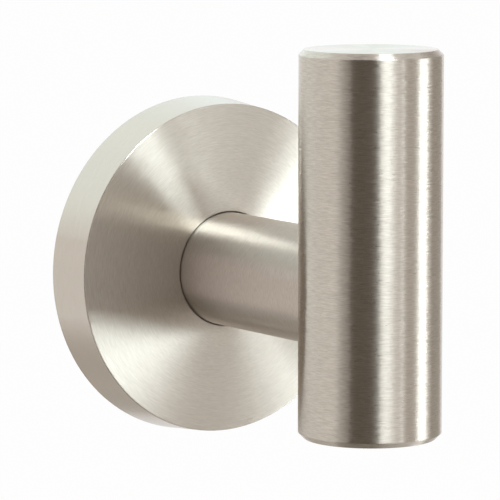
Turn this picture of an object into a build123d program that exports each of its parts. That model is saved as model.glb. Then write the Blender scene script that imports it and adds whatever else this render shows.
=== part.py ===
"""Robe hook: an upright round bar on a short stem, held to the wall by a rosette over a hidden bracket.

The wall is the plane Y = 0, the stem runs out along -Y and +Z is up. All sizes are in millimetres.
"""
import os
from math import sqrt

from build123d import *

# Rosette, the turned cup against the wall
ROSETTE_WALL_DIA = 54.0
ROSETTE_FRONT_DIA = 52.5
ROSETTE_RIM_DEPTH = 8.3
ROSETTE_FRONT_BEVEL = 0.1
ROSETTE_CROWN = 1.1
ROSETTE_EDGE_BREAK = 0.25
CUP_WALL = 4.0
CUP_DEPTH = 5.4
CUP_CORNER_BEVEL = 0.6

# Stem
STEM_DIA = 18.0
STEM_END_CHAMFER = 0.4
STEM_SEAT_DEPTH = 1.5
STEM_SEAT_CLEARANCE = 0.2

# Hook bar, measured from the stem's axis and from the wall
BAR_DIA = 21.8
BAR_ABOVE = 37.4
BAR_BELOW = 21.5
BAR_REACH = 48.2
BAR_END_CHAMFER = 0.85
BAR_POCKET_LAND = 0.6
BAR_POCKET_CLEARANCE = 0.05

# Wall bracket
BRACKET_FACE_GAP = 0.4
BRACKET_CLEARANCE = 0.4
BRACKET_LIP = 0.8
BRACKET_UNDERCUT = 3.2
BRACKET_CENTRE_HOLE_DIA = 16.0
WALL_SCREW_SPACING = 30.0
WALL_SCREW_HOLE_DIA = 5.0
WALL_SCREW_HEAD_DIA = 9.2

# Set screw, M4 with a cone point
SET_SCREW_DIA = 4.0
SET_SCREW_FROM_WALL = 3.0
SET_SCREW_SUNK = 0.4
SET_SCREW_SOCKET = 2.0
SET_SCREW_SOCKET_DEPTH = 1.6
SET_SCREW_SEAT_GAP = 0.05

# Stem bolt, M6 with a low head, and its spring washer
BOLT_DIA = 6.0
BOLT_IN_STEM = 10.0
BOLT_HEAD_DIA = 10.5
BOLT_HEAD_HEIGHT = 3.2
BOLT_HEAD_BEVEL = 0.5
BOLT_SOCKET = 4.0
BOLT_SOCKET_DEPTH = 2.0
BOLT_HOLE_CLEARANCE = 0.3
WASHER_DIA = 11.8
WASHER_THICKNESS = 1.6
WASHER_BORE_CLEARANCE = 0.1
WASHER_SLIT = 0.8
WASHER_SLIT_ANGLE = 20.0

# Bar stud, M8 with a socket at the wall end
STUD_DIA = 8.0
STUD_IN_STEM = 9.0
STUD_IN_BAR = 9.0
STUD_END_CHAMFER = 0.8
STUD_SOCKET = 4.0
STUD_SOCKET_DEPTH = 4.0

# Fits shared by the threaded pieces, on the radius and past the end of a blind hole
THREAD_CLEARANCE = 0.05
TAP_RUNOUT = 1.0
DRILL_POINT = 0.3


def turned(corners):
    """Solid turned about the stem's axis from corners of (radius, distance from the wall)."""
    outline = Polyline(*[(r, -d) for r, d in corners], close=True)
    return revolve(make_face(outline), Axis.Y)


def hex_socket(across_flats, depth):
    """Hexagon prism whose mouth lies on the wall plane and which runs out along -Y."""
    hexagon = RegularPolygon(across_flats / 2, 6, major_radius=False)
    return extrude(Plane.XZ * hexagon, depth)


def blind_hole(radius, depth):
    """Drilled hole from the wall plane out along -Y, with the drill's cone at its end."""
    return turned([(0, 0), (radius, 0), (radius, depth), (0, depth + DRILL_POINT * radius)])


def away(distance):
    """Shift from the wall along the stem's axis."""
    return Pos(0, -distance, 0)


# Positions that follow from the sizes above
wall_r = ROSETTE_WALL_DIA / 2
front_r = ROSETTE_FRONT_DIA / 2
cup_r = wall_r - CUP_WALL
face_top = ROSETTE_RIM_DEPTH + ROSETTE_FRONT_BEVEL + ROSETTE_CROWN
stem_r = STEM_DIA / 2
seat_r = stem_r + STEM_SEAT_CLEARANCE
seat_floor = face_top - STEM_SEAT_DEPTH
bar_r = BAR_DIA / 2
pocket_r = stem_r + BAR_POCKET_CLEARANCE
pocket_depth = bar_r - sqrt(bar_r**2 - pocket_r**2) + BAR_POCKET_LAND
pocket_floor = BAR_REACH - bar_r + pocket_depth
bolt_hole_r = BOLT_DIA / 2 + BOLT_HOLE_CLEARANCE
bracket_front = CUP_DEPTH - BRACKET_FACE_GAP

# Rosette: cup with a tapered rim, a bevel and a face that rises a little to the stem's seat, turned in one piece
rim_taper = (wall_r - front_r) / ROSETTE_RIM_DEPTH
cup = turned(
    [
        (cup_r, 0),
        (wall_r - ROSETTE_EDGE_BREAK, 0),
        (wall_r - rim_taper * ROSETTE_EDGE_BREAK, ROSETTE_EDGE_BREAK),
        (front_r, ROSETTE_RIM_DEPTH),
        (front_r - ROSETTE_FRONT_BEVEL, ROSETTE_RIM_DEPTH + ROSETTE_FRONT_BEVEL),
        (seat_r, face_top),
        (seat_r, seat_floor),
        (bolt_hole_r, seat_floor),
        (bolt_hole_r, CUP_DEPTH),
        (cup_r - CUP_CORNER_BEVEL, CUP_DEPTH),
        (cup_r, CUP_DEPTH - CUP_CORNER_BEVEL),
    ]
)
set_screw_hole = Pos(0, -SET_SCREW_FROM_WALL, 0) * Cylinder(
    SET_SCREW_DIA / 2, wall_r + front_r, align=(Align.CENTER, Align.CENTER, Align.MAX)
)
rosette = cup - set_screw_hole

# Stem: square-cut round bar, tapped for the bolt at one end and for the stud at the other
stem_length = pocket_floor - seat_floor
stem_blank = turned(
    [
        (0, 0),
        (stem_r - STEM_END_CHAMFER, 0),
        (stem_r, STEM_END_CHAMFER),
        (stem_r, stem_length - STEM_END_CHAMFER),
        (stem_r - STEM_END_CHAMFER, stem_length),
        (0, stem_length),
    ]
)
bolt_tap = blind_hole(BOLT_DIA / 2, BOLT_IN_STEM + TAP_RUNOUT)
stud_tap = away(stem_length) * Rot(180, 0, 0) * blind_hole(STUD_DIA / 2, STUD_IN_STEM + TAP_RUNOUT)
stem = away(seat_floor) * (stem_blank - bolt_tap - stud_tap)

# Hook bar: upright round bar with bevelled ends and a flat-floored pocket that takes the stem's end
bar_blank = Pos(0, -BAR_REACH, -BAR_BELOW) * Cylinder(
    bar_r, BAR_ABOVE + BAR_BELOW, align=(Align.CENTER, Align.CENTER, Align.MIN)
)
bar_blank = chamfer(bar_blank.edges().filter_by(GeomType.CIRCLE), BAR_END_CHAMFER)
pocket = away(pocket_floor - bar_r) * turned([(0, 0), (pocket_r, 0), (pocket_r, bar_r), (0, bar_r)])
bar_tap = away(pocket_floor) * blind_hole(STUD_DIA / 2, STUD_IN_BAR + TAP_RUNOUT)
hook_bar = bar_blank - pocket - bar_tap

# Wall bracket: disc with an undercut edge that the set screw's cone bears on
lip_r = cup_r - BRACKET_CLEARANCE
lip_back = bracket_front - BRACKET_LIP
neck_r = lip_r - BRACKET_UNDERCUT
centre_r = BRACKET_CENTRE_HOLE_DIA / 2
bracket_disc = turned(
    [
        (centre_r, 0),
        (neck_r, 0),
        (neck_r, lip_back - BRACKET_UNDERCUT),
        (lip_r, lip_back),
        (lip_r, bracket_front),
        (centre_r, bracket_front),
    ]
)
screw_r = WALL_SCREW_HOLE_DIA / 2
head_r = WALL_SCREW_HEAD_DIA / 2
screw_hole = turned(
    [
        (0, 0),
        (screw_r, 0),
        (screw_r, bracket_front - (head_r - screw_r)),
        (head_r, bracket_front),
        (0, bracket_front),
    ]
)
screw_holes = [Pos(0, 0, side * WALL_SCREW_SPACING / 2) * screw_hole for side in (1, -1)]
wall_bracket = bracket_disc - screw_holes

# Set screw: sunk into the rim from below, its cone against the bracket's undercut
set_r = SET_SCREW_DIA / 2 - THREAD_CLEARANCE
rim_r_at_set = wall_r - rim_taper * SET_SCREW_FROM_WALL
set_end = rim_r_at_set - SET_SCREW_SUNK
undercut_r_at_set = neck_r + SET_SCREW_FROM_WALL - (lip_back - BRACKET_UNDERCUT)
set_tip = undercut_r_at_set + SET_SCREW_SEAT_GAP
set_length = set_end - set_tip
set_body = turned([(0, 0), (set_r, 0), (set_r, set_length - set_r), (0, set_length)])
set_body -= hex_socket(SET_SCREW_SOCKET, SET_SCREW_SOCKET_DEPTH)
set_screw = Pos(0, -SET_SCREW_FROM_WALL, -set_end) * Rot(-90, 0, 0) * set_body

# Stem bolt: head inside the bracket's centre hole, shank through washer and rosette into the stem
washer_back = CUP_DEPTH - WASHER_THICKNESS
bolt_end = seat_floor + BOLT_IN_STEM
shank_r = BOLT_DIA / 2 - THREAD_CLEARANCE
bolt_length = bolt_end - washer_back + BOLT_HEAD_HEIGHT
bolt_head_r = BOLT_HEAD_DIA / 2
bolt_body = turned(
    [
        (0, 0),
        (bolt_head_r - BOLT_HEAD_BEVEL, 0),
        (bolt_head_r, BOLT_HEAD_BEVEL),
        (bolt_head_r, BOLT_HEAD_HEIGHT),
        (shank_r, BOLT_HEAD_HEIGHT),
        (shank_r, bolt_length),
        (0, bolt_length),
    ]
)
bolt_body -= hex_socket(BOLT_SOCKET, BOLT_SOCKET_DEPTH)
stem_bolt = away(washer_back - BOLT_HEAD_HEIGHT) * bolt_body

# Lock washer: flat ring cut through by one slanted slit
washer_r = WASHER_DIA / 2
washer_bore = shank_r + WASHER_BORE_CLEARANCE
washer_ring = turned(
    [(washer_bore, 0), (washer_r, 0), (washer_r, WASHER_THICKNESS), (washer_bore, WASHER_THICKNESS)]
)
slit = Pos(washer_r / 2, -WASHER_THICKNESS / 2, 0) * Rot(WASHER_SLIT_ANGLE, 0, 0) * Box(
    washer_r, 3 * WASHER_THICKNESS, WASHER_SLIT
)
lock_washer = away(washer_back) * (washer_ring - slit)

# Bar stud: half in the stem and half in the bar
stud_r = STUD_DIA / 2 - THREAD_CLEARANCE
stud_length = STUD_IN_STEM + STUD_IN_BAR
stud_body = turned(
    [
        (0, 0),
        (stud_r - STUD_END_CHAMFER, 0),
        (stud_r, STUD_END_CHAMFER),
        (stud_r, stud_length - STUD_END_CHAMFER),
        (stud_r - STUD_END_CHAMFER, stud_length),
        (0, stud_length),
    ]
)
stud_body -= hex_socket(STUD_SOCKET, STUD_SOCKET_DEPTH)
bar_stud = away(pocket_floor - STUD_IN_STEM) * stud_body

nodes = {
    "rosette": rosette,
    "stem": stem,
    "hook_bar": hook_bar,
    "wall_bracket": wall_bracket,
    "set_screw": set_screw,
    "stem_bolt": stem_bolt,
    "lock_washer": lock_washer,
    "bar_stud": bar_stud,
}

os.makedirs("parts", exist_ok=True)
for name, shape in nodes.items():
    shape.label = name
    export_step(shape, f"parts/{name}.step")
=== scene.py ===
"""Looks for a wall-fixed robe hook in brushed stainless steel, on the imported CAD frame."""
from math import cos, pi, radians, sin

import bpy
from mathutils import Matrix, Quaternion, Vector


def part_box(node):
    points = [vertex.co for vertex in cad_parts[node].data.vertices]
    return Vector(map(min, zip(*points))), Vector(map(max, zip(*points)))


bl_info = {
    "name": "Robe Hook",
    "version": (1, 0, 0),
    "blender": (4, 5, 0),
    "location": "View3D > Sidebar > Robe Hook",
    "description": "Finishes a brushed stainless robe hook and sets it in a plain studio",
    "category": "Object",
}

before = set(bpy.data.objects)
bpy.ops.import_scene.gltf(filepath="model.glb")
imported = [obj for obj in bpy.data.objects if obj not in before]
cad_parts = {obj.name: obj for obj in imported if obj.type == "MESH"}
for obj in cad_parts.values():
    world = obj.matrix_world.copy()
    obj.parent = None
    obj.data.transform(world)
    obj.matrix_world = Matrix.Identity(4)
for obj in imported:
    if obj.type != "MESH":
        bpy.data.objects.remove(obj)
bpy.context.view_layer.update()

# Directions in the part's frame
STEM_AXIS = (0, 1, 0)
BAR_AXIS = (0, 0, 1)
ACROSS = (1, 0, 0)
WALL_CENTRE = (0, 0, 0)

# Small finishes, in metres or as shares
END_MARGIN = 0.00002
FAINT_LINES = 0.35
PLATING_CLOUD = 0.00286
LATHE_RING = 0.00026
LATHE_DEPTH = 0.00001
PLATING_DULLING = 0.8
FORMED_SPECK = 0.0004
THREAD_DEPTH = 0.6
THREAD_MARGIN = 0.0001

# Studio
WHITE = (1, 1, 1, 1)
MIDDLE = Vector((0, -0.0241, 0))
FLOOR_REACH = 12
PLAIN_SHARE = 0.97
# Darkest share of the painted soft shade edge on a glowing card, before its plain part
STRIP_DARKEST = 0.78
SENSOR_WIDTH = 36
CAMERA_WAY = (-34.4205, 7.6751)
CAMERA_AIM = (-33.9635, 7.2415)


# Colours and nodes

def linear(hex_code):
    """Linear RGBA of an sRGB hex colour."""
    parts = [int(hex_code[i:i + 2], 16) / 255 for i in (1, 3, 5)]
    return [c / 12.92 if c <= 0.04045 else ((c + 0.055) / 1.055) ** 2.4 for c in parts] + [1.0]


def put(tree, kind, settings=None, inputs=None):
    """Adds one node, sets its properties, and fills its inputs with values or links."""
    node = tree.nodes.new(kind)
    for key, value in (settings or {}).items():
        setattr(node, key, value)
    for key, value in (inputs or {}).items():
        socket = node.inputs[key]
        if isinstance(value, bpy.types.NodeSocket):
            tree.links.new(value, socket)
        else:
            socket.default_value = value
    return node


def fresh_material(name):
    """Empty node material with its output node."""
    material = bpy.data.materials.new(name)
    material.use_nodes = True
    material.node_tree.nodes.clear()
    return material, material.node_tree, put(material.node_tree, "ShaderNodeOutputMaterial")


# Properties a user would change

class RobeHookFinish(bpy.types.PropertyGroup):
    """Finish of the steel pieces."""
    steel_colour: bpy.props.FloatVectorProperty(
        name="Steel colour", description="Tone of the brushed steel under white light",
        subtype="COLOR", size=4, min=0, max=1, default=linear("#D6CCC0"))
    groove_colour: bpy.props.FloatVectorProperty(
        name="Groove colour", description="Tone of the deeper brush lines",
        subtype="COLOR", size=4, min=0, max=1, default=linear("#B0A69A"))
    roughness: bpy.props.FloatProperty(
        name="Roughness", description="Mean roughness of the brushed rosette and bar",
        subtype="FACTOR", min=0, max=1, default=0.32)
    stem_roughness: bpy.props.FloatProperty(
        name="Stem roughness", description="Roughness of the stem, which is brushed with a coarser belt",
        subtype="FACTOR", min=0, max=1, default=0.35)
    fine_roughness: bpy.props.FloatProperty(
        name="Fine roughness", description="Roughness of the rosette's turned rim and the bar's cut ends",
        subtype="FACTOR", min=0, max=1, default=0.16)
    spread: bpy.props.FloatProperty(
        name="Roughness spread", description="How much the roughness differs from line to line, as a share",
        subtype="FACTOR", min=0, max=1, default=0.36)
    line_spacing: bpy.props.FloatProperty(
        name="Line spacing", description="Distance between the brush lines that show",
        unit="LENGTH", min=0.00002, max=0.002, default=0.00012)
    line_depth: bpy.props.FloatProperty(
        name="Line depth", description="Depth of the brush lines that show",
        unit="LENGTH", min=0, max=0.0001, default=0.000002)
    wander: bpy.props.FloatProperty(
        name="Line wander", description="How far single brush lines lean out of true, as a slope",
        min=0, max=0.3, default=0.06)
    edge_radius: bpy.props.FloatProperty(
        name="Edge radius", description="Rounding that brushing leaves on every edge",
        unit="LENGTH", min=0, max=0.002, default=0.00025)
    face_radius: bpy.props.FloatProperty(
        name="Face radius", description="Reach of the rosette's brushed face, inside its turned rim",
        unit="LENGTH", min=0.005, max=0.1, default=0.0262)
    plating_colour: bpy.props.FloatVectorProperty(
        name="Plating colour", description="Tone of the zinc plating on the hidden bracket",
        subtype="COLOR", size=4, min=0, max=1, default=linear("#A9AEB2"))
    fastener_colour: bpy.props.FloatVectorProperty(
        name="Fastener colour", description="Tone of the screws, the washer and the stud",
        subtype="COLOR", size=4, min=0, max=1, default=linear("#B7B4AF"))


class RobeHookStage(bpy.types.PropertyGroup):
    """Floor, light and camera."""
    floor_drop: bpy.props.FloatProperty(
        name="Floor drop", description="Height of the stem's axis above the floor",
        unit="LENGTH", min=0.05, max=3, default=0.45)
    world_level: bpy.props.FloatProperty(
        name="World level", description="Brightness of the surroundings on matt surfaces",
        min=0, max=2, default=0.6)
    lens: bpy.props.FloatProperty(
        name="Lens", description="Focal length on a 36 mm sensor, in millimetres",
        unit="CAMERA", min=20, max=600, default=273.1)
    distance: bpy.props.FloatProperty(
        name="Camera distance", description="From the camera to the middle of the stem",
        unit="LENGTH", min=0.1, max=5, default=0.5924)


# Steel

def brushed_steel(name, axis, centre, roughness, dash, show, rim=1.0, end=1.0):
    """Stainless steel, brushed with a fine belt while it turns about the axis.

    The brush lines break after about one radius over the dash, and stand out by the share to show.
    Beyond the radius of the rim, and past the end along the axis, the finish is finer.
    """
    # To the eye: a reflection stays crisp along the grooves and smears across them, single lines
    # glint where they lean, and the metal keeps a warm grey tone
    look = bpy.context.scene.robe_hook_finish
    material, tree, out = fresh_material(name)
    where = put(tree, "ShaderNodeTexCoord").outputs["Object"]
    offset = put(tree, "ShaderNodeVectorMath", {"operation": "SUBTRACT"}, {0: where, 1: centre}).outputs[0]
    along = put(tree, "ShaderNodeVectorMath", {"operation": "DOT_PRODUCT"},
                {0: offset, 1: axis}).outputs["Value"]
    spoke = put(tree, "ShaderNodeVectorMath", {"operation": "MULTIPLY"},
                {0: offset, 1: [1 - abs(a) for a in axis]}).outputs[0]
    radius = put(tree, "ShaderNodeVectorMath", {"operation": "LENGTH"}, {0: spoke}).outputs["Value"]
    spoke = put(tree, "ShaderNodeVectorMath", {"operation": "NORMALIZE"}, {0: spoke}).outputs[0]
    groove = put(tree, "ShaderNodeVectorMath", {"operation": "CROSS_PRODUCT"},
                 {0: axis, 1: spoke}).outputs[0]

    # Where the finish is finer
    reach = put(tree, "ShaderNodeMath", {"operation": "ABSOLUTE"}, {0: along}).outputs[0]
    on_end = put(tree, "ShaderNodeMath", {"operation": "GREATER_THAN"}, {0: reach, 1: end}).outputs[0]
    on_rim = put(tree, "ShaderNodeMath", {"operation": "GREATER_THAN"}, {0: radius, 1: rim}).outputs[0]
    plain = put(tree, "ShaderNodeMath", {"operation": "MAXIMUM"}, {0: on_end, 1: on_rim}).outputs[0]
    brushed = put(tree, "ShaderNodeMath", {"operation": "SUBTRACT"}, {0: 1.0, 1: plain}).outputs[0]

    # Brush lines, fine across the grooves and long along them
    # They are drawn coarser than the real 0.03 mm, so that they show
    fine = 1 / look.line_spacing
    turn = put(tree, "ShaderNodeVectorMath", {"operation": "SCALE"}, {0: spoke, "Scale": dash}).outputs[0]
    ring = put(tree, "ShaderNodeMath", {"operation": "MULTIPLY"}, {0: radius, 1: fine}).outputs[0]
    ring = put(tree, "ShaderNodeVectorMath", {"operation": "SCALE"}, {0: axis, "Scale": ring}).outputs[0]
    place = put(tree, "ShaderNodeVectorMath", {"operation": "ADD"}, {0: turn, 1: ring}).outputs[0]
    level = put(tree, "ShaderNodeMath", {"operation": "MULTIPLY"}, {0: along, 1: fine}).outputs[0]
    lines = put(tree, "ShaderNodeTexNoise", {"noise_dimensions": "4D"},
                {"Vector": place, "W": level, "Scale": 1.0, "Detail": 3.0, "Roughness": 0.6}).outputs["Fac"]
    strokes = put(tree, "ShaderNodeTexNoise", {"noise_dimensions": "4D"},
                  {"Vector": place, "W": level, "Scale": 0.9, "Detail": 2.0, "Roughness": 0.7})
    strokes = put(tree, "ShaderNodeSeparateColor", None, {"Color": strokes.outputs["Color"]})

    # Line by line lean of the surface, along the groove, over edges that brushing has rounded
    slope = put(tree, "ShaderNodeMapRange", None,
                {"Value": strokes.outputs["Green"], "From Min": 0.2, "From Max": 0.8,
                 "To Min": -show * look.wander, "To Max": show * look.wander}).outputs[0]
    slope = put(tree, "ShaderNodeMath", {"operation": "MULTIPLY"}, {0: slope, 1: brushed}).outputs[0]
    rounded = put(tree, "ShaderNodeBevel", {"samples": 8}, {"Radius": look.edge_radius}).outputs[0]
    bump = put(tree, "ShaderNodeBump", None,
               {"Strength": brushed, "Distance": look.line_depth,
                "Height": lines, "Normal": rounded}).outputs[0]
    side = put(tree, "ShaderNodeVectorMath", {"operation": "SCALE"}, {0: groove, "Scale": slope}).outputs[0]
    tilt = put(tree, "ShaderNodeVectorMath", {"operation": "ADD"}, {0: bump, 1: side}).outputs[0]
    normal = put(tree, "ShaderNodeVectorMath", {"operation": "NORMALIZE"}, {0: tilt}).outputs[0]

    # Tone and roughness, which differ from line to line
    shade = put(tree, "ShaderNodeMapRange", None,
                {"Value": lines, "From Min": 0.3, "From Max": 0.7,
                 "To Min": 0.5 - show / 2, "To Max": 0.5 + show / 2}).outputs[0]
    faint = put(tree, "ShaderNodeMath", {"operation": "MAXIMUM"}, {0: brushed, 1: FAINT_LINES}).outputs[0]
    shade = put(tree, "ShaderNodeMix", None, {0: faint, 2: 0.5, 3: shade}).outputs[0]
    tone = put(tree, "ShaderNodeMix", {"data_type": "RGBA"},
               {0: shade, 6: look.groove_colour, 7: look.steel_colour}).outputs[2]
    grain = put(tree, "ShaderNodeMapRange", None,
                {"Value": strokes.outputs["Red"], "From Min": 0.2, "From Max": 0.8,
                 "To Min": roughness * (1 - show * look.spread),
                 "To Max": roughness * (1 + show * look.spread)}).outputs[0]
    grain = put(tree, "ShaderNodeMix", None, {0: plain, 2: grain, 3: look.fine_roughness}).outputs[0]
    shader = put(tree, "ShaderNodeBsdfPrincipled", None,
                 {"Base Color": tone, "Metallic": 1.0, "Roughness": grain, "Anisotropic": 1.0,
                  "Anisotropic Rotation": 0.25, "Normal": normal, "Tangent": groove})
    tree.links.new(shader.outputs[0], out.inputs["Surface"])
    return material


def plated_steel(name):
    """Mild steel, turned about the stem's axis and zinc plated."""
    # To the eye: soft cool clouds over fine lathe rings, duller than the brushed steel
    look = bpy.context.scene.robe_hook_finish
    material, tree, out = fresh_material(name)
    where = put(tree, "ShaderNodeTexCoord").outputs["Object"]
    clouds = put(tree, "ShaderNodeTexNoise", None,
                 {"Vector": where, "Scale": 1 / PLATING_CLOUD, "Detail": 3.0}).outputs["Fac"]
    # A wave texture at scale 1 has a wave every pi / 10 metres
    rings = put(tree, "ShaderNodeTexWave", {"wave_type": "RINGS", "rings_direction": "Y"},
                {"Vector": where, "Scale": pi / 10 / LATHE_RING}).outputs["Fac"]
    dull = [PLATING_DULLING * c for c in look.plating_colour[:3]] + [1.0]
    tone = put(tree, "ShaderNodeMix", {"data_type": "RGBA"},
               {0: clouds, 6: dull, 7: look.plating_colour}).outputs[2]
    grain = put(tree, "ShaderNodeMapRange", None, {"Value": clouds, "To Min": 0.3, "To Max": 0.5}).outputs[0]
    normal = put(tree, "ShaderNodeBump", None,
                 {"Strength": 0.5, "Distance": LATHE_DEPTH, "Height": rings}).outputs[0]
    shader = put(tree, "ShaderNodeBsdfPrincipled", None,
                 {"Base Color": tone, "Metallic": 1.0, "Roughness": grain, "Normal": normal})
    tree.links.new(shader.outputs[0], out.inputs["Surface"])
    return material


def fastener_steel(name, axis=STEM_AXIS, centre=WALL_CENTRE, size=0.0, pitch=0.001):
    """Stainless steel, cold formed, with a rolled thread of the given size and pitch."""
    # To the eye: a smooth bright skin, and a row of lines where the thread's flanks catch the light
    look = bpy.context.scene.robe_hook_finish
    material, tree, out = fresh_material(name)
    where = put(tree, "ShaderNodeTexCoord").outputs["Object"]
    offset = put(tree, "ShaderNodeVectorMath", {"operation": "SUBTRACT"}, {0: where, 1: centre}).outputs[0]
    along, first, second = [
        put(tree, "ShaderNodeVectorMath", {"operation": "DOT_PRODUCT"}, {0: offset, 1: way}).outputs["Value"]
        for way in (axis, ACROSS, Vector(axis).cross(ACROSS))]
    angle = put(tree, "ShaderNodeMath", {"operation": "ARCTAN2"}, {0: second, 1: first}).outputs[0]
    turns = put(tree, "ShaderNodeMath", {"operation": "DIVIDE"}, {0: angle, 1: 2 * pi}).outputs[0]
    steps = put(tree, "ShaderNodeMath", {"operation": "DIVIDE"}, {0: along, 1: pitch}).outputs[0]
    helix = put(tree, "ShaderNodeMath", {"operation": "ADD"}, {0: steps, 1: turns}).outputs[0]
    flank = put(tree, "ShaderNodeMath", {"operation": "PINGPONG"}, {0: helix, 1: 0.5}).outputs[0]

    # Only the shank, at the thread's own radius, carries the thread
    spoke = put(tree, "ShaderNodeCombineXYZ", None, {0: first, 1: second}).outputs[0]
    radius = put(tree, "ShaderNodeVectorMath", {"operation": "LENGTH"}, {0: spoke}).outputs["Value"]
    on_shank = put(tree, "ShaderNodeMath", {"operation": "COMPARE"},
                   {0: radius, 1: size / 2, 2: THREAD_MARGIN}).outputs[0]
    normal = put(tree, "ShaderNodeBump", None,
                 {"Strength": on_shank, "Distance": THREAD_DEPTH * pitch, "Height": flank}).outputs[0]
    specks = put(tree, "ShaderNodeTexNoise", None,
                 {"Vector": where, "Scale": 1 / FORMED_SPECK, "Detail": 2.0}).outputs["Fac"]
    grain = put(tree, "ShaderNodeMapRange", None,
                {"Value": specks, "To Min": 0.2, "To Max": 0.36}).outputs[0]
    shader = put(tree, "ShaderNodeBsdfPrincipled", None,
                 {"Base Color": look.fastener_colour, "Metallic": 1.0, "Roughness": grain, "Normal": normal})
    tree.links.new(shader.outputs[0], out.inputs["Surface"])
    return material


def dress(node, material):
    """Gives a CAD node its finish."""
    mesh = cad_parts[node].data
    mesh.materials.clear()
    mesh.materials.append(material)


class ROBEHOOK_OT_rosette(bpy.types.Operator):
    """Finish the rosette: brushed in circles about the stem"""
    bl_idname = "robehook.rosette"
    bl_label = "Rosette"

    def execute(self, context):
        look = context.scene.robe_hook_finish
        dress("rosette", brushed_steel("Stainless steel, turned and brushed rosette", STEM_AXIS, WALL_CENTRE,
                                       look.roughness, dash=14, show=0.45, rim=look.face_radius))
        return {"FINISHED"}


class ROBEHOOK_OT_stem(bpy.types.Operator):
    """Finish the stem: brushed around its length"""
    bl_idname = "robehook.stem"
    bl_label = "Stem"

    def execute(self, context):
        look = context.scene.robe_hook_finish
        dress("stem", brushed_steel("Stainless steel, belt brushed stem", STEM_AXIS, WALL_CENTRE,
                                    look.stem_roughness, dash=9, show=0.6))
        return {"FINISHED"}


class ROBEHOOK_OT_hook_bar(bpy.types.Operator):
    """Finish the upright bar: brushed around its length"""
    bl_idname = "robehook.hook_bar"
    bl_label = "Hook bar"

    def execute(self, context):
        look = context.scene.robe_hook_finish
        low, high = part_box("hook_bar")
        half = (high.z - low.z) / 2
        dress("hook_bar", brushed_steel("Stainless steel, belt brushed bar", BAR_AXIS, (low + high) / 2,
                                        look.roughness, dash=8, show=0.75, end=half - END_MARGIN))
        return {"FINISHED"}


class ROBEHOOK_OT_fixings(bpy.types.Operator):
    """Finish the hidden bracket and fasteners"""
    bl_idname = "robehook.fixings"
    bl_label = "Bracket and fasteners"

    def execute(self, context):
        low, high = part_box("set_screw")
        dress("wall_bracket", plated_steel("Zinc plated steel, turned bracket"))
        dress("set_screw", fastener_steel("Stainless steel, M4 set screw", BAR_AXIS, (low + high) / 2,
                                          size=0.004, pitch=0.0007))
        dress("stem_bolt", fastener_steel("Stainless steel, M6 bolt", size=0.006, pitch=0.001))
        dress("bar_stud", fastener_steel("Stainless steel, M8 stud", size=0.008, pitch=0.00125))
        dress("lock_washer", fastener_steel("Stainless spring steel, rolled washer"))
        return {"FINISHED"}


# Stage

def heading(azimuth, elevation):
    """Unit vector from the hook; azimuth 0 is straight out from the wall, positive to a viewer's right."""
    a, e = radians(azimuth), radians(elevation)
    return Vector((sin(a) * cos(e), -cos(a) * cos(e), sin(e)))


def face_hook(thing, azimuth, elevation, distance, roll=0):
    """Places a lamp or card round the hook, square to it and turned about its own axis."""
    way = heading(azimuth, elevation)
    thing.location = MIDDLE + way * distance
    thing.rotation_mode = "QUATERNION"
    thing.rotation_quaternion = (-way).to_track_quat("-Z", "Y") @ Quaternion((0, 0, 1), radians(roll))


def light_panel(name, azimuth, elevation, distance, width, height, radiance,
                roll=0, tint="#E4F6FF", only=()):
    """Soft area lamp that faces the hook, given by its own brightness; it can reach some nodes only."""
    data = bpy.data.lights.new(name, "AREA")
    data.color = linear(tint)[:3]
    data.shape = "RECTANGLE"
    data.size, data.size_y = width, height
    data.energy = radiance * pi * width * height
    lamp = bpy.data.objects.new(name, data)
    face_hook(lamp, azimuth, elevation, distance, roll)
    lamp.visible_camera = False
    bpy.context.collection.objects.link(lamp)
    if only:
        reached = bpy.data.collections.new("reached_by_" + name)
        for node in only:
            reached.objects.link(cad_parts[node])
        lamp.light_linking.receiver_collection = reached


def rectangle(name, x, y, z):
    """Flat rectangular mesh that reaches x and y to each side of its middle, at height z."""
    mesh = bpy.data.meshes.new(name)
    mesh.from_pydata([(-x, -y, z), (x, -y, z), (x, y, z), (-x, y, z)], [], [(0, 1, 2, 3)])
    return mesh


def painted_reflection_card(name, azimuth, elevation, distance, width, height, shade, fade=0):
    """Glowing card, no lamp, that only the metal sees: a painted reflection of shaded surroundings in the
    given shade. A strip of the width to fade runs from white at its left, a painted soft shade edge.
    """
    mesh = rectangle(name, width / 2, height / 2, 0)
    material, tree, out = fresh_material("Card, " + name)
    tone = linear(shade)
    # Painted soft shade edge: the strip runs from white at the card's left to its darkest share, then the
    # card's plain shade
    if fade:
        where = put(tree, "ShaderNodeTexCoord").outputs["Object"]
        across = put(tree, "ShaderNodeSeparateXYZ", None, {0: where}).outputs["X"]
        left, inner = -width / 2, fade - width / 2
        plain = put(tree, "ShaderNodeMath", {"operation": "GREATER_THAN"}, {0: across, 1: inner}).outputs[0]
        strip = put(tree, "ShaderNodeMapRange", None,
                    {"Value": across, "From Min": left, "From Max": inner,
                     "To Max": STRIP_DARKEST}).outputs[0]
        dark = put(tree, "ShaderNodeMath", {"operation": "MAXIMUM"}, {0: strip, 1: plain}).outputs[0]
        tone = put(tree, "ShaderNodeMix", {"data_type": "RGBA"}, {0: dark, 6: WHITE, 7: tone}).outputs[2]
    # The card glows with its own tone though it is no lamp: a painted reflection of shade in the metal
    glow = put(tree, "ShaderNodeEmission", None, {"Color": tone, "Strength": 1.0})
    tree.links.new(glow.outputs[0], out.inputs["Surface"])
    mesh.materials.append(material)
    card = bpy.data.objects.new(name, mesh)
    face_hook(card, azimuth, elevation, distance)
    card.visible_camera = False
    card.visible_diffuse = False
    card.visible_shadow = False
    bpy.context.collection.objects.link(card)


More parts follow.
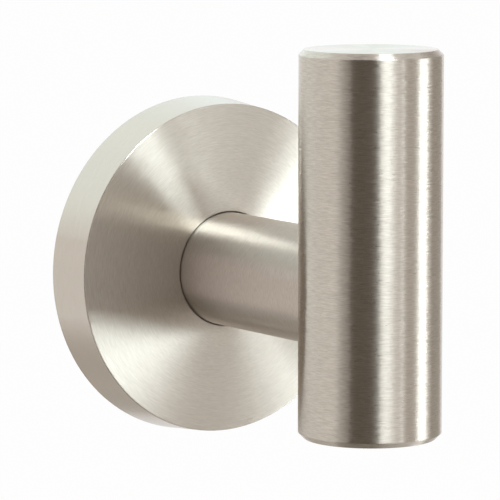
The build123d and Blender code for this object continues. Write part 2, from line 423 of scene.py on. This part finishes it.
def seen(tree):
    """1 for rays of the camera, of reflections and through glass, which see the stage as it is; else 0."""
    path = put(tree, "ShaderNodeLightPath").outputs
    looks = put(tree, "ShaderNodeMath", {"operation": "MAXIMUM"},
                {0: path["Is Camera Ray"], 1: path["Is Glossy Ray"]}).outputs[0]
    return put(tree, "ShaderNodeMath", {"operation": "MAXIMUM"},
               {0: looks, 1: path["Is Transmission Ray"]}).outputs[0]


def pale_floor(drop):
    """Plain pale floor: almost wholly white where it is seen, with a little lit paint that takes shadows."""
    mesh = rectangle("floor", FLOOR_REACH, FLOOR_REACH, -drop)
    material, tree, out = fresh_material("Painted studio floor, matt white")
    share = put(tree, "ShaderNodeMath", {"operation": "MULTIPLY"},
                {0: seen(tree), 1: PLAIN_SHARE}).outputs[0]
    paint = put(tree, "ShaderNodeBsdfDiffuse", None, {"Color": linear("#F2F2F0")}).outputs[0]
    white = put(tree, "ShaderNodeEmission", None, {"Color": WHITE, "Strength": 1.0}).outputs[0]
    mixed = put(tree, "ShaderNodeMixShader", None, {0: share, 1: paint, 2: white}).outputs[0]
    tree.links.new(mixed, out.inputs["Surface"])
    mesh.materials.append(material)
    floor = bpy.data.objects.new("floor", mesh)
    bpy.context.collection.objects.link(floor)


def white_world(level):
    """White surroundings: strength 1 where they are seen, and the given level as light on matt surfaces."""
    world = bpy.data.worlds.new("studio")
    world.use_nodes = True
    tree = world.node_tree
    tree.nodes.clear()
    strength = put(tree, "ShaderNodeMapRange", None,
                   {"Value": seen(tree), "To Min": level, "To Max": 1.0}).outputs[0]
    sky = put(tree, "ShaderNodeBackground", None, {"Color": WHITE, "Strength": strength}).outputs[0]
    put(tree, "ShaderNodeOutputWorld", None, {"Surface": sky})
    bpy.context.scene.world = world


def photo_camera(lens, distance):
    """Camera at the photograph's viewing angle, aimed a little beside the stem's middle."""
    data = bpy.data.cameras.new("camera")
    data.lens, data.sensor_width = lens, SENSOR_WIDTH
    data.clip_start, data.clip_end = 0.01, 20
    camera = bpy.data.objects.new("camera", data)
    camera.location = MIDDLE + heading(*CAMERA_WAY) * distance
    camera.rotation_mode = "QUATERNION"
    camera.rotation_quaternion = (-heading(*CAMERA_AIM)).to_track_quat("-Z", "Y")
    bpy.context.collection.objects.link(camera)
    bpy.context.scene.camera = camera


class ROBEHOOK_OT_stage(bpy.types.Operator):
    """Make the floor, the studio light and the camera"""
    bl_idname = "robehook.stage"
    bl_label = "Stage"

    def execute(self, context):
        look = context.scene.robe_hook_stage
        pale_floor(look.floor_drop)
        white_world(look.world_level)

        # Fans of light on the rosette's face; the key also makes the bar's broad bright stripe
        light_panel("key", azimuth=-5.5, elevation=45, distance=0.646, width=0.17, height=0.27,
                    radiance=18.0, roll=24.9)
        light_panel("side", azimuth=54, elevation=-1, distance=0.7, width=0.26, height=0.2,
                    radiance=14.0, only=("rosette", "stem"))
        light_panel("low_side", azimuth=57, elevation=-27, distance=0.7, width=0.25, height=0.12,
                    radiance=5.5)
        light_panel("face_fill", azimuth=33, elevation=6, distance=0.5, width=0.2, height=0.8,
                    radiance=0.8, only=("rosette",))

        # A streak on the stem, which the bar shades at its end, and a faint warm fill
        light_panel("over", azimuth=-19, elevation=60.5, distance=0.62, width=0.26, height=0.2,
                    radiance=11.0, roll=19, only=("stem",))
        light_panel("stem_fill", azimuth=-90, elevation=-15, distance=0.6, width=0.6, height=1.2,
                    radiance=0.6, tint="#FFE2E6", only=("stem",))

        # A thin line and a bright stripe on the bar
        light_panel("thin", azimuth=15.9, elevation=0, distance=0.5, width=0.012, height=0.5,
                    radiance=2.0, only=("hook_bar",))
        light_panel("bar_side", azimuth=54, elevation=-1, distance=0.7, width=0.26, height=0.2,
                    radiance=4.0, only=("hook_bar",))

        # A broad glow from behind, for the rim
        light_panel("back", azimuth=180, elevation=35, distance=0.9, width=1.5, height=0.87,
                    radiance=0.47, tint="#C6EFF4")

        # Glowing cards that only the metal sees, as painted reflections of shade: the bar's dark stripe, and
        # softer greys round the rest of the metal; camera_side's faded left strip is a painted soft shade
        # edge
        painted_reflection_card("camera_side", azimuth=-55.7, elevation=-5, distance=0.5, width=0.721, height=1.8,
                  shade="#69625A", fade=0.2805)
        painted_reflection_card("low_left", azimuth=-50, elevation=-62, distance=0.44, width=0.5, height=0.36,
                  shade="#7A746B")
        painted_reflection_card("below", azimuth=150, elevation=-80, distance=0.43, width=0.4, height=0.4,
                  shade="#B5B1AB")
        painted_reflection_card("front_right", azimuth=33, elevation=0, distance=0.5, width=0.2, height=1.0,
                  shade="#D4D0CC")
        painted_reflection_card("right_side", azimuth=93, elevation=0, distance=0.5, width=0.36, height=1.1,
                  shade="#C0BCB6")
        painted_reflection_card("low_back", azimuth=-172.5, elevation=-40, distance=0.5, width=0.414, height=0.3,
                  shade="#CFCBC5")

        photo_camera(look.lens, look.distance)
        context.scene.view_settings.view_transform = "Standard"
        return {"FINISHED"}


class ROBEHOOK_PT_panel(bpy.types.Panel):
    """Sidebar panel with the hook's finish, its stage and the steps that make them"""
    bl_idname = "ROBEHOOK_PT_panel"
    bl_label = "Robe Hook"
    bl_space_type = "VIEW_3D"
    bl_region_type = "UI"
    bl_category = "Robe Hook"

    def draw(self, context):
        layout = self.layout
        for group in (context.scene.robe_hook_finish, context.scene.robe_hook_stage):
            for key in group.__annotations__:
                layout.prop(group, key)
        for step in STEPS:
            layout.operator(step.bl_idname)


STEPS = (ROBEHOOK_OT_rosette, ROBEHOOK_OT_stem, ROBEHOOK_OT_hook_bar, ROBEHOOK_OT_fixings, ROBEHOOK_OT_stage)
CLASSES = (RobeHookFinish, RobeHookStage, *STEPS, ROBEHOOK_PT_panel)


def register():
    """Registers the classes and hangs the properties on the scene."""
    for cls in CLASSES:
        bpy.utils.register_class(cls)
    bpy.types.Scene.robe_hook_finish = bpy.props.PointerProperty(type=RobeHookFinish)
    bpy.types.Scene.robe_hook_stage = bpy.props.PointerProperty(type=RobeHookStage)


def unregister():
    """Takes back what register made."""
    del bpy.types.Scene.robe_hook_finish
    del bpy.types.Scene.robe_hook_stage
    for cls in reversed(CLASSES):
        bpy.utils.unregister_class(cls)


def main():
    """Runs every step in order."""
    register()
    bpy.ops.robehook.rosette()
    bpy.ops.robehook.stem()
    bpy.ops.robehook.hook_bar()
    bpy.ops.robehook.fixings()
    bpy.ops.robehook.stage()


if __name__ == "__main__":
    main()
